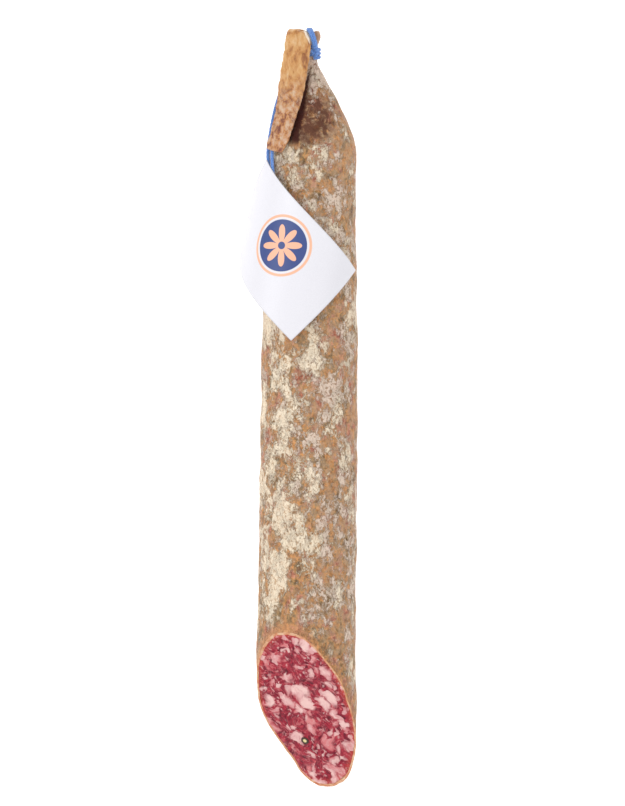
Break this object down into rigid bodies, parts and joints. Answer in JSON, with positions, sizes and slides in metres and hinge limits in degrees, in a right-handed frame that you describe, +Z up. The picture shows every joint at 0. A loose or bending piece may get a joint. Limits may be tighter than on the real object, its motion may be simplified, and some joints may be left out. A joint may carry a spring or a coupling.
{
  "type": "cured sausage",
  "caption": "Dry-cured pork sausage in mouldy gut, cut on a long diagonal, with its tied gut tail, blue twine and a blank paper label.",
  "frame": {"origin": "on the table under the body's axis, in the flat strip that the sausage rests on, a little past the middle of its length", "axes": "+Y along the sausage from the cut end to the tied end, +X to the right as seen with the cut face up and the tied end away, +Z up from the table"},
  "size_m": [0.0618, 0.3953, 0.0551],
  "materials": {
    "casing": "matte",
    "meat": "satin",
    "pepper": "matte",
    "twine": "matte",
    "paper": "satin"
  },
  "bodies": {
    "root": {"sausage": "casing", "peppercorn": "pepper", "twine_tie": "twine", "twine_end_left": "twine", "twine_end_right": "twine", "label": "paper"}
  },
  "joints": []
}
